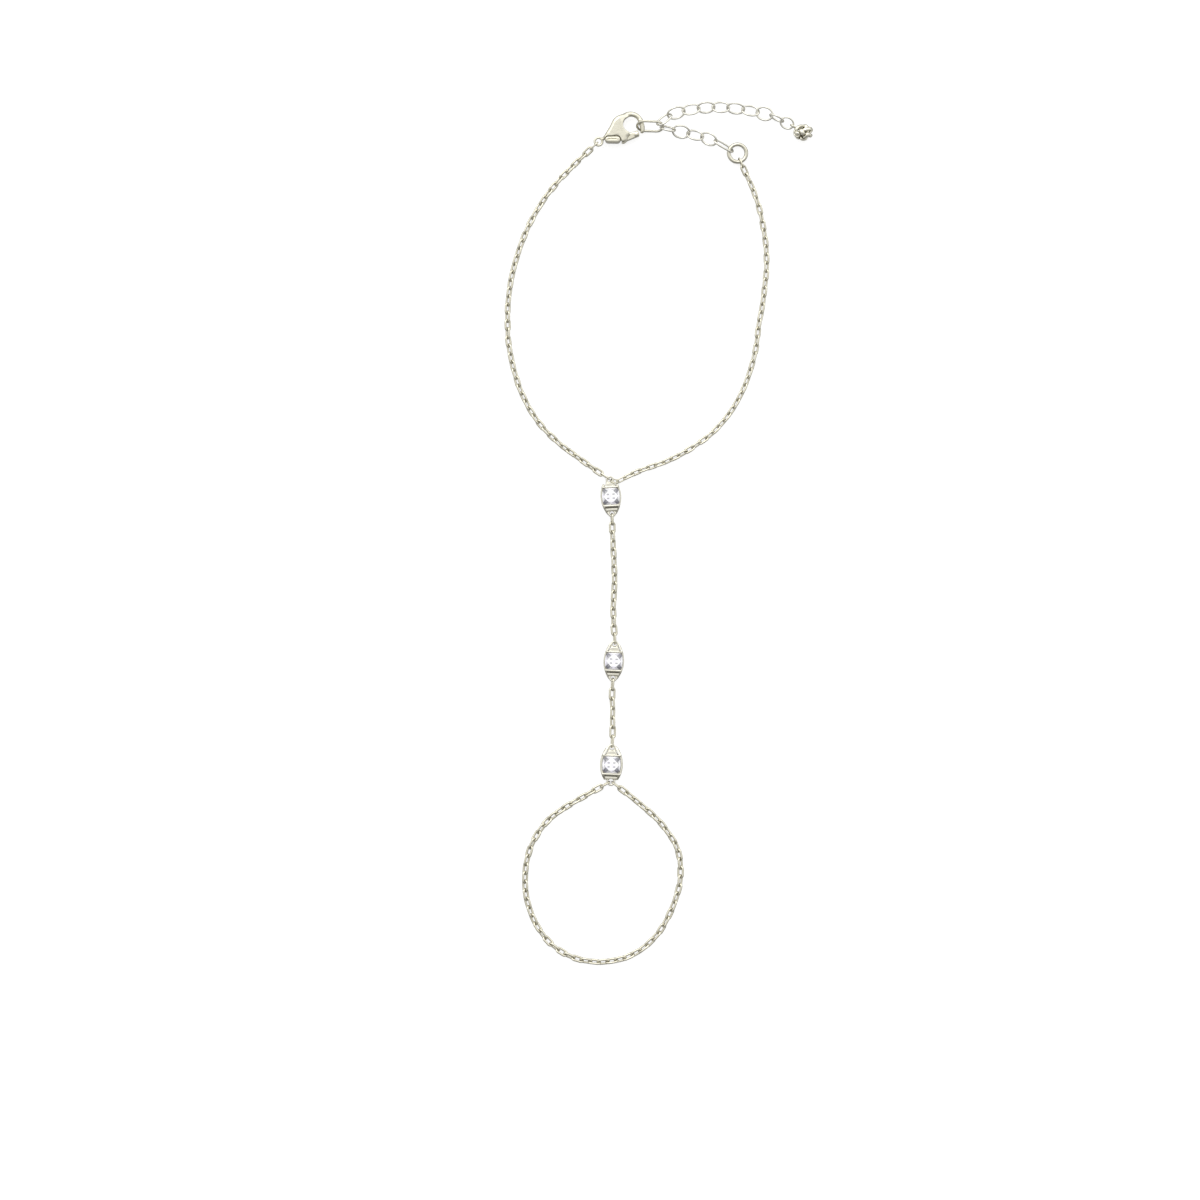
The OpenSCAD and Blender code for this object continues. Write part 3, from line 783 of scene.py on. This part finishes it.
def lever_field(x, y, z):
    d = circle2(x, y, PIVOT[0], PIVOT[1], 0.66)
    d = np.minimum(d, polygon2(x, y, [(4.15, -2.0), (7.02, -2.12), (7.12, -1.8), (6.9, -1.12), (4.2, -0.7)]))
    d = np.minimum(d, polygon2(x, y, [(4.1, -1.65), (2.5, -1.25), (2.5, -0.7), (4.1, -0.65)]))
    a = slab(d, z, 0.4, 0.2)
    # the gate swells to a rounder nose
    nose = capsule2(x, y, 6.3, -1.6, 6.6, -1.62, 0.43, 0.45)
    a = blend_min(a, slab(nose, z, 0.54, 0.38), 0.15)
    # the end is round about the pin, so that it swings clear of the hook and of what hangs in it
    a = blend_max(a, np.hypot(x - PIVOT[0], y - PIVOT[1]) - 2.71, 0.2)
    tab = slab(capsule2(x, y, 1.64, -0.43, 3.02, -1.08, 0.55, 0.57), z, 0.99, 0.26)
    a = blend_min(a, tab, 0.1)
    # a slit pressed in the tab's top
    slit = capsule2(x, y, 1.75, -0.4, 2.85, -0.92, 0.06, 0.06)
    slit = np.maximum(slit, 0.86 - z)
    return blend_max(a, -slit, 0.08)


def placed(V, origin, degrees):
    return origin + V @ rot("z", degrees).T


V, F = surface(clasp_body_field, (-1.2, -2.5, -1.3), (8.7, 3.4, 1.3), 0.07)
make("clasp_shell", [(placed(V, CLASP_AT, CLASP_TURN), F)], M_CLASP, ["clasp_body"])
V, F = surface(lever_field, (0.9, -2.45, -1.1), (7.4, 0.25, 1.1), 0.06)
make("clasp_gate", [(placed(V, CLASP_AT, CLASP_TURN), F)], M_CLASP, ["clasp_lever"], body="gate")
pin = []
for z0, z1 in ((-1.1, 1.1),):
    a = np.arange(28) * 2 * math.pi / 28
    rings = [(0.0, z0 + 0.02), (0.2, z0), (0.28, z0 + 0.06), (0.28, z1 - 0.06), (0.2, z1), (0.0, z1 - 0.02)]
    Vp, Fp = [vec(PIVOT[0], PIVOT[1], rings[0][1])], []
    for r, z in rings[1:-1]:
        Vp.extend(vec(PIVOT[0] + r * math.cos(t), PIVOT[1] + r * math.sin(t), z) for t in a)
    Vp.append(vec(PIVOT[0], PIVOT[1], rings[-1][1]))
    for j in range(28):
        k = (j + 1) % 28
        Fp.append((0, 1 + k, 1 + j))
        for q in range(3):
            Fp.append((1 + 28 * q + j, 1 + 28 * q + k, 1 + 28 * (q + 1) + k, 1 + 28 * (q + 1) + j))
        Fp.append((1 + 28 * 3 + j, 1 + 28 * 3 + k, len(Vp) - 1))
    pin.append((placed(np.array(Vp), CLASP_AT, CLASP_TURN), Fp))
make("clasp_rivet", pin, M_CLASP, ["clasp_pin"], sharp=50)


# ---------------------------------------------------------------- settings and stones

def step(x, a, b):
    t = np.clip((x - a) / (b - a), 0, 1)
    return t * t * (3 - 2 * t)


def standing(d2, z, z0, z1, r):
    """An outline standing from height z0 to z1, with rounded edges."""
    return slab(d2, z - (z0 + z1) / 2, (z1 - z0) / 2, r)


def setting_field(hw, rail_w, foot, head):
    """A pointed oval frame with domed rails, a bar each side of the stone, and an
    eye at each end. The rails stop at foot, below, and at head, above."""
    R = (3.9 * 3.9 + hw * hw) / (2 * hw)

    def field(x, y, z):
        ay = np.abs(y)
        oval_ = blend_max(circle2(x, y, R - hw, 0, R), circle2(x, y, hw - R, 0, R), 0.05)
        top = 1.5 - 0.68 * step(ay, 1.6, 2.95)
        # rails: domed bands that follow the outline and meet near the eyes
        band = np.abs(oval_ + rail_w / 2) - rail_w / 2
        band = blend_max(band, np.maximum(y - head, foot - y), 0.12)
        solid = standing(band, z, 0 * z, top, 0.165)
        # infill between the rails above the stone, with a gap at each corner, and below it
        wedge = polygon2(np.abs(x), y, [(-0.7, 1.5), (1.16, 1.5), (1.06, 1.76), (0.6, 2.42), (-0.7, 2.5)])
        low = np.maximum(oval_ + 0.08, np.maximum(y + 1.95, -2.46 - y))
        crest = 1.02 + 0 * ay
        solid = np.minimum(solid, standing(wedge, z, 0.3 + 0 * z, crest, 0.16))
        solid = np.minimum(solid, standing(low, z, 0.2 + 0 * z, crest + 0.1, 0.12))
        # necks and eyes
        neck = np.maximum(np.maximum(oval_ + 0.04, np.abs(x) - 0.72), np.maximum(ay - 2.62, 2.2 - ay))
        rim = np.where(y < 0, RIM_LOW[hw], 0.52)
        hole = rim - 0.165
        eye = np.abs(np.hypot(x, ay - 2.85) - rim) - 0.165
        solid = blend_min(solid, standing(neck, z, 0.5, 0.76, 0.08), 0.05)
        solid = blend_max(solid, hole - np.hypot(x, ay - 2.85), 0.05)
        solid = blend_min(solid, standing(eye, z, 0.475, 0.815, 0.16), 0.03)
        # bars that hold the stone, and a narrow slot below the lower one
        upper = np.maximum(oval_ + 0.1, np.maximum(1.44 - y, y - 1.72))
        solid = np.minimum(solid, standing(upper, z, 0.2, 1.7, 0.14))
        lower = np.maximum(oval_ + 0.1, np.maximum(y + 1.44, -1.76 - y))
        solid = np.minimum(solid, standing(lower, z, 0.15, 1.74, 0.12))
        # the seat under the stone, open in the middle
        seat = np.maximum(oval_ + 0.1, np.maximum(y - 1.55, -2.02 - y))
        seat = np.maximum(seat, 0.95 - np.maximum(np.abs(x), ay))
        solid = np.minimum(solid, standing(seat, z, 0, 0.36, 0.05))
        return solid

    return field


RIM_LOW = {1.75: 0.52, 1.95: 0.6}


def cut_stone(hw, mat):
    """A cushion-square stone: table, star and kite facets, clipped corners and a
    pavilion in rows. Each facet carries a painted reflection value: dark where it would mirror dark surroundings,
    near white where it would send light back."""
    bow, wide = (1.5, 1.4) if hw < 1.9 else (1.56, 1.44)
    V, F, tone = [], [], []

    def ring(sx, sy, cut, z, bx=1.0):
        """Eight points: clipped corners, with the sides bowed outwards by bx."""
        pts = []
        for cx, cy in ((1, -1), (1, 1), (-1, 1), (-1, -1)):
            a_, b_ = (sx * cx, (sy - cut) * cy), ((sx - cut) * cx, sy * cy)
            pts.extend([a_, b_] if cx * cy > 0 else [b_, a_])
        out = []
        for x_, y_ in pts:
            V.append(vec(x_, y_, z))
            out.append(len(V) - 1)
        return out

    def mids(r, fx, fy, z):
        out = []
        for k in range(8):
            m = (V[r[k]] + V[r[(k + 1) % 8]]) / 2
            side = k % 2 == 1
            f = fx if abs(m[0]) > abs(m[1]) else fy
            V.append(vec(m[0] * (f if side else 1), m[1] * (f if side else 1), z))
            out.append(len(V) - 1)
        return out

    def face(f, t):
        F.append(tuple(f))
        tone.append(t)

    h = 1.38
    table = ring(0.94, 0.9, 0.48, 2.0)
    gird = ring(wide, h, 0.4, 1.63)
    gmid = mids(gird, bow / wide, 1.0, 1.63)
    gird2 = ring(wide, h, 0.4, 1.56)
    gmid2 = mids(gird2, bow / wide, 1.0, 1.56)
    crown = mids([*table], 1.0, 1.0, 2.0)
    kite = []
    for k in range(8):
        m = (V[table[k]] + V[table[(k + 1) % 8]] + V[gird[k]] + V[gird[(k + 1) % 8]]) / 4
        V.append(vec(m[0] * 1.03, m[1] * 1.03, 1.87))
        kite.append(len(V) - 1)
    # the table's own facets: four small spots with painted grey reflections between brighter painted fields
    spot = []
    for cx, cy in ((1, -1), (1, 1), (-1, 1), (-1, -1)):
        q = []
        for dx, dy in ((-0.2, -0.13), (0.2, -0.13), (0.2, 0.13), (-0.2, 0.13)):
            V.append(vec(0.47 * cx + dx, 0.34 * cy + dy, 2.0))
            q.append(len(V) - 1)
        spot.append(q)
        face(q, 0.4)
    (a0, a1, a2, a3), (b0, b1, b2, b3), (c0, c1, c2, c3), (d0, d1, d2, d3) = spot
    t = table
    face((a3, a2, b1, b0), 0.98)
    face((d2, a3, b0, c1), 0.9)
    face((d3, d2, c1, c0), 0.98)
    face((d1, a0, a3, d2), 0.97)
    face((c1, b0, b3, c2), 0.97)
    face((t[1], t[2], b2, b1, a2, a1), 0.96)
    face((t[2], t[3], b3, b2), 0.99)
    face((t[3], t[4], c2, b3), 0.95)
    face((t[4], t[5], c3, c2), 0.99)
    face((t[5], t[6], d0, d3, c0, c3), 0.96)
    face((t[6], t[7], d1, d0), 0.99)
    face((t[7], t[0], a0, d1), 0.95)
    face((t[0], t[1], a1, a0), 0.99)
    # painted reflections: the corner facets are painted near black, as mirrored shade, and the others light
    for k in range(8):
        j = (k + 1) % 8
        corner = k % 2 == 0
        face((table[k], kite[k], table[j]), 0.22 if corner else 1.0)
        face((table[k], gird[k], kite[k]), 0.06 if corner else 0.5)
        face((gird[j], table[j], kite[k]), 0.12 if corner else 0.6)
        face((gird[k], gmid[k], kite[k]), 0.05 if corner else 0.98)
        face((gmid[k], gird[j], kite[k]), 0.07 if corner else 1.0)
        face((gird[k], gird2[k], gmid2[k], gmid[k]), 0.6)
        face((gmid[k], gmid2[k], gird2[j], gird[j]), 0.6)
    # painted reflections on the pavilion's facets, lighter and darker in turn
    rows = [(gird2, gmid2)]
    for f, z, c in ((0.68, 1.1, 0.2), (0.34, 0.76, 0.1)):
        r = ring(h * f, h * f, c, z)
        m = mids(r, 1.12, 1.12, z - 0.03)
        rows.append((r, m))
    for (r0, m0), (r1, m1) in zip(rows, rows[1:]):
        for k in range(8):
            j = (k + 1) % 8
            face((r0[k], r1[k], m1[k]), 0.75)
            face((r0[k], m1[k], m0[k]), 0.9)
            face((m0[k], m1[k], r0[j]), 0.8)
            face((m1[k], r1[j], r0[j]), 0.65)
    V.append(vec(0, 0, 0.5))
    tip = len(V) - 1
    r1, m1 = rows[-1]
    for k in range(8):
        j = (k + 1) % 8
        face((r1[k], tip, m1[k]), 0.7)
        face((m1[k], tip, r1[j]), 0.85)
    return np.array(V), F, tone


def with_tone(ob, tone):
    """A facet's tone, its painted reflection value, stored as a value on the face."""
    at = ob.data.attributes.new("tone", "FLOAT", "FACE")
    at.data.foreach_set("value", tone)
    return ob


for i in range(3):
    field = setting_field(SET_HW[i], 0.42 if i == 2 else 0.3, -2.6 if i == 2 else -3.1, 2.15 if i == 0 else 3.1)
    V, F = surface(field, (-2.15, -3.75, -0.15), (2.15, 3.75, 1.95), 0.06)
    make(f"setting_{i + 1}_cast", [(placed(V, SET_AT[i], SET_TURN[i]), F)], M_SET, [f"setting_{i + 1}"])
    V, F, tone = cut_stone(SET_HW[i], M_STONE)
    gem = make(f"stone_{i + 1}_cut", [(placed(V, SET_AT[i], SET_TURN[i]), F)], M_STONE, [f"stone_{i + 1}"], sharp=1)
    if len(gem.data.polygons) == len(tone):
        with_tone(gem, tone)
    print("gem", len(gem.data.polygons), len(tone))


# ---------------------------------------------------------------- stage

def floor():
    """A pale sweep, with the faintest paper tooth."""
    s = 1.2
    me = bpy.data.meshes.new("floor")
    me.from_pydata([(-s, -s, 0), (s, -s, 0), (s, s, 0), (-s, s, 0)], [], [(0, 1, 2, 3)])
    ob = bpy.data.objects.new("floor", me)
    bpy.context.scene.collection.objects.link(ob)
    mat = bpy.data.materials.new("paper")
    mat.use_nodes = True
    nt = mat.node_tree
    b = nt.nodes["Principled BSDF"]
    b.inputs["Base Color"].default_value = (0.4, 0.4, 0.4, 1)
    b.inputs["Roughness"].default_value = 0.9
    b.inputs["Specular IOR Level"].default_value = 0.1
    b.inputs["Emission Color"].default_value = (1, 1, 1, 1)
    # the paper looks white, but it throws back less light than it shows
    seen = nt.nodes.new("ShaderNodeLightPath")
    glow = nt.nodes.new("ShaderNodeMapRange")
    glow.inputs["To Min"].default_value = 0.12
    glow.inputs["To Max"].default_value = 0.78
    nt.links.new(seen.outputs["Is Camera Ray"], glow.inputs["Value"])
    nt.links.new(glow.outputs["Result"], b.inputs["Emission Strength"])
    tc = nt.nodes.new("ShaderNodeTexCoord")
    no = nt.nodes.new("ShaderNodeTexNoise")
    no.inputs["Scale"].default_value = 900
    bp = nt.nodes.new("ShaderNodeBump")
    bp.inputs["Strength"].default_value = 0.04
    nt.links.new(tc.outputs["Object"], no.inputs["Vector"])
    nt.links.new(no.outputs["Fac"], bp.inputs["Height"])
    nt.links.new(bp.outputs["Normal"], b.inputs["Normal"])
    me.materials.append(mat)
    return ob


floor()


def studio():
    """Soft light from above and from +Y; the far side at -Y is darker."""
    w = bpy.data.worlds.new("studio")
    bpy.context.scene.world = w
    w.use_nodes = True
    nt = w.node_tree
    nt.nodes.clear()
    N = lambda kind, **kw: _node(nt, kind, **kw)
    out = N("ShaderNodeOutputWorld")
    bg = N("ShaderNodeBackground")
    tc = N("ShaderNodeTexCoord")
    sep = N("ShaderNodeSeparateXYZ")
    nt.links.new(tc.outputs["Generated"], sep.inputs["Vector"])
    ramp = N("ShaderNodeValToRGB")
    ramp.color_ramp.interpolation = "EASE"
    e = ramp.color_ramp.elements
    e[0].position, e[0].color = 0.0, (0.10, 0.10, 0.095, 1)
    e[1].position, e[1].color = 1.0, (0.75, 0.75, 0.74, 1)
    for p, c in ((0.15, 0.16), (0.32, 0.34), (0.5, 0.52), (0.72, 0.78), (0.88, 0.9)):
        x = e.new(p)
        x.color = (c, c, c * 0.985, 1)
    m = N("ShaderNodeMapRange")
    m.inputs["From Min"].default_value = -1.0
    m.inputs["From Max"].default_value = 1.0
    nt.links.new(sep.outputs["Y"], m.inputs["Value"])
    nt.links.new(m.outputs["Result"], ramp.inputs["Fac"])
    nt.links.new(ramp.outputs["Color"], bg.inputs["Color"])
    bg.inputs["Strength"].default_value = 1.65
    plain = N("ShaderNodeBackground")
    plain.inputs["Color"].default_value = (0.93, 0.93, 0.93, 1)
    plain.inputs["Strength"].default_value = 1.0
    mix = N("ShaderNodeMixShader")
    lp = N("ShaderNodeLightPath")
    nt.links.new(lp.outputs["Is Camera Ray"], mix.inputs["Fac"])
    nt.links.new(bg.outputs["Background"], mix.inputs[1])
    nt.links.new(plain.outputs["Background"], mix.inputs[2])
    nt.links.new(mix.outputs["Shader"], out.inputs["Surface"])
    for name, at, size, power in (("key", (-0.3, 0.9, 1.3), 1.0, 3.0),):
        d = bpy.data.lights.new(name, "AREA")
        d.shape = "DISK"
        d.size = size
        d.energy = power
        o = bpy.data.objects.new(name, d)
        bpy.context.scene.collection.objects.link(o)
        o.location = at
        o.rotation_euler = (-Vector(at)).to_track_quat("-Z", "Y").to_euler()


studio()

# The view: straight down, 0.17 mm to a pixel of 1200.
cam = bpy.data.cameras.new("camera")
cam.sensor_width = 36
cam.lens = 110
cam.clip_start = 0.01
cam.clip_end = 10
ob = bpy.data.objects.new("camera", cam)
bpy.context.scene.collection.objects.link(ob)
ob.location = (-9.945 * MM, -11.305 * MM, 204 * MM * 110 / 36 + 1 * MM)
ob.rotation_euler = (0, 0, 0)
bpy.context.scene.camera = ob
view = bpy.context.scene.view_settings
view.view_transform = "Standard"
view.look = "None"
view.exposure = 0.0
view.gamma = 1.0
